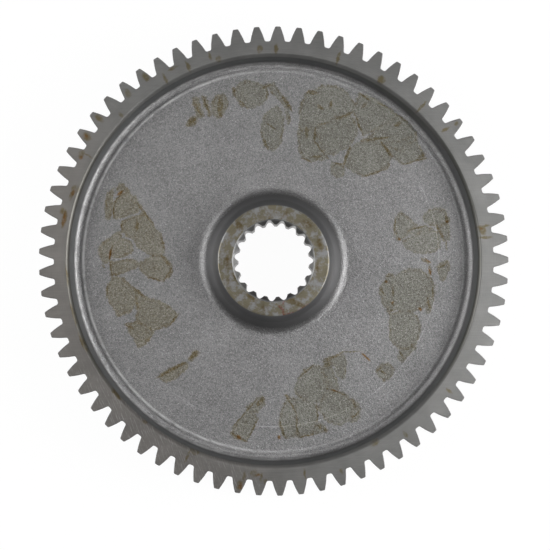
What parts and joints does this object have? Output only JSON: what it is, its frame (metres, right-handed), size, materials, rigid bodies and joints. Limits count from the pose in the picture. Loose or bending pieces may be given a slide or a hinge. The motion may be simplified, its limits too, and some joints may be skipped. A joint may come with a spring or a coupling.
{
  "type": "transmission gear",
  "caption": "Straight-toothed spur gear wheel with a recessed web on both faces and an internally splined hub, which slides onto a splined shaft and passes drive in a gearbox.",
  "frame": {"origin": "centre of the splined bore, on the plane of the hidden face that the gear lies on", "axes": "+Z along the bore, out of the hub's taller end (the side that the picture shows); +X through the middle of one tooth"},
  "size_m": [0.1774, 0.1774, 0.032],
  "materials": {
    "gear_steel": "forged steel, machined on the rim, teeth, hub face and spline, with dull oil and rust stains"
  },
  "bodies": {
    "root": {"transmission_gear": "gear_steel"}
  },
  "joints": []
}
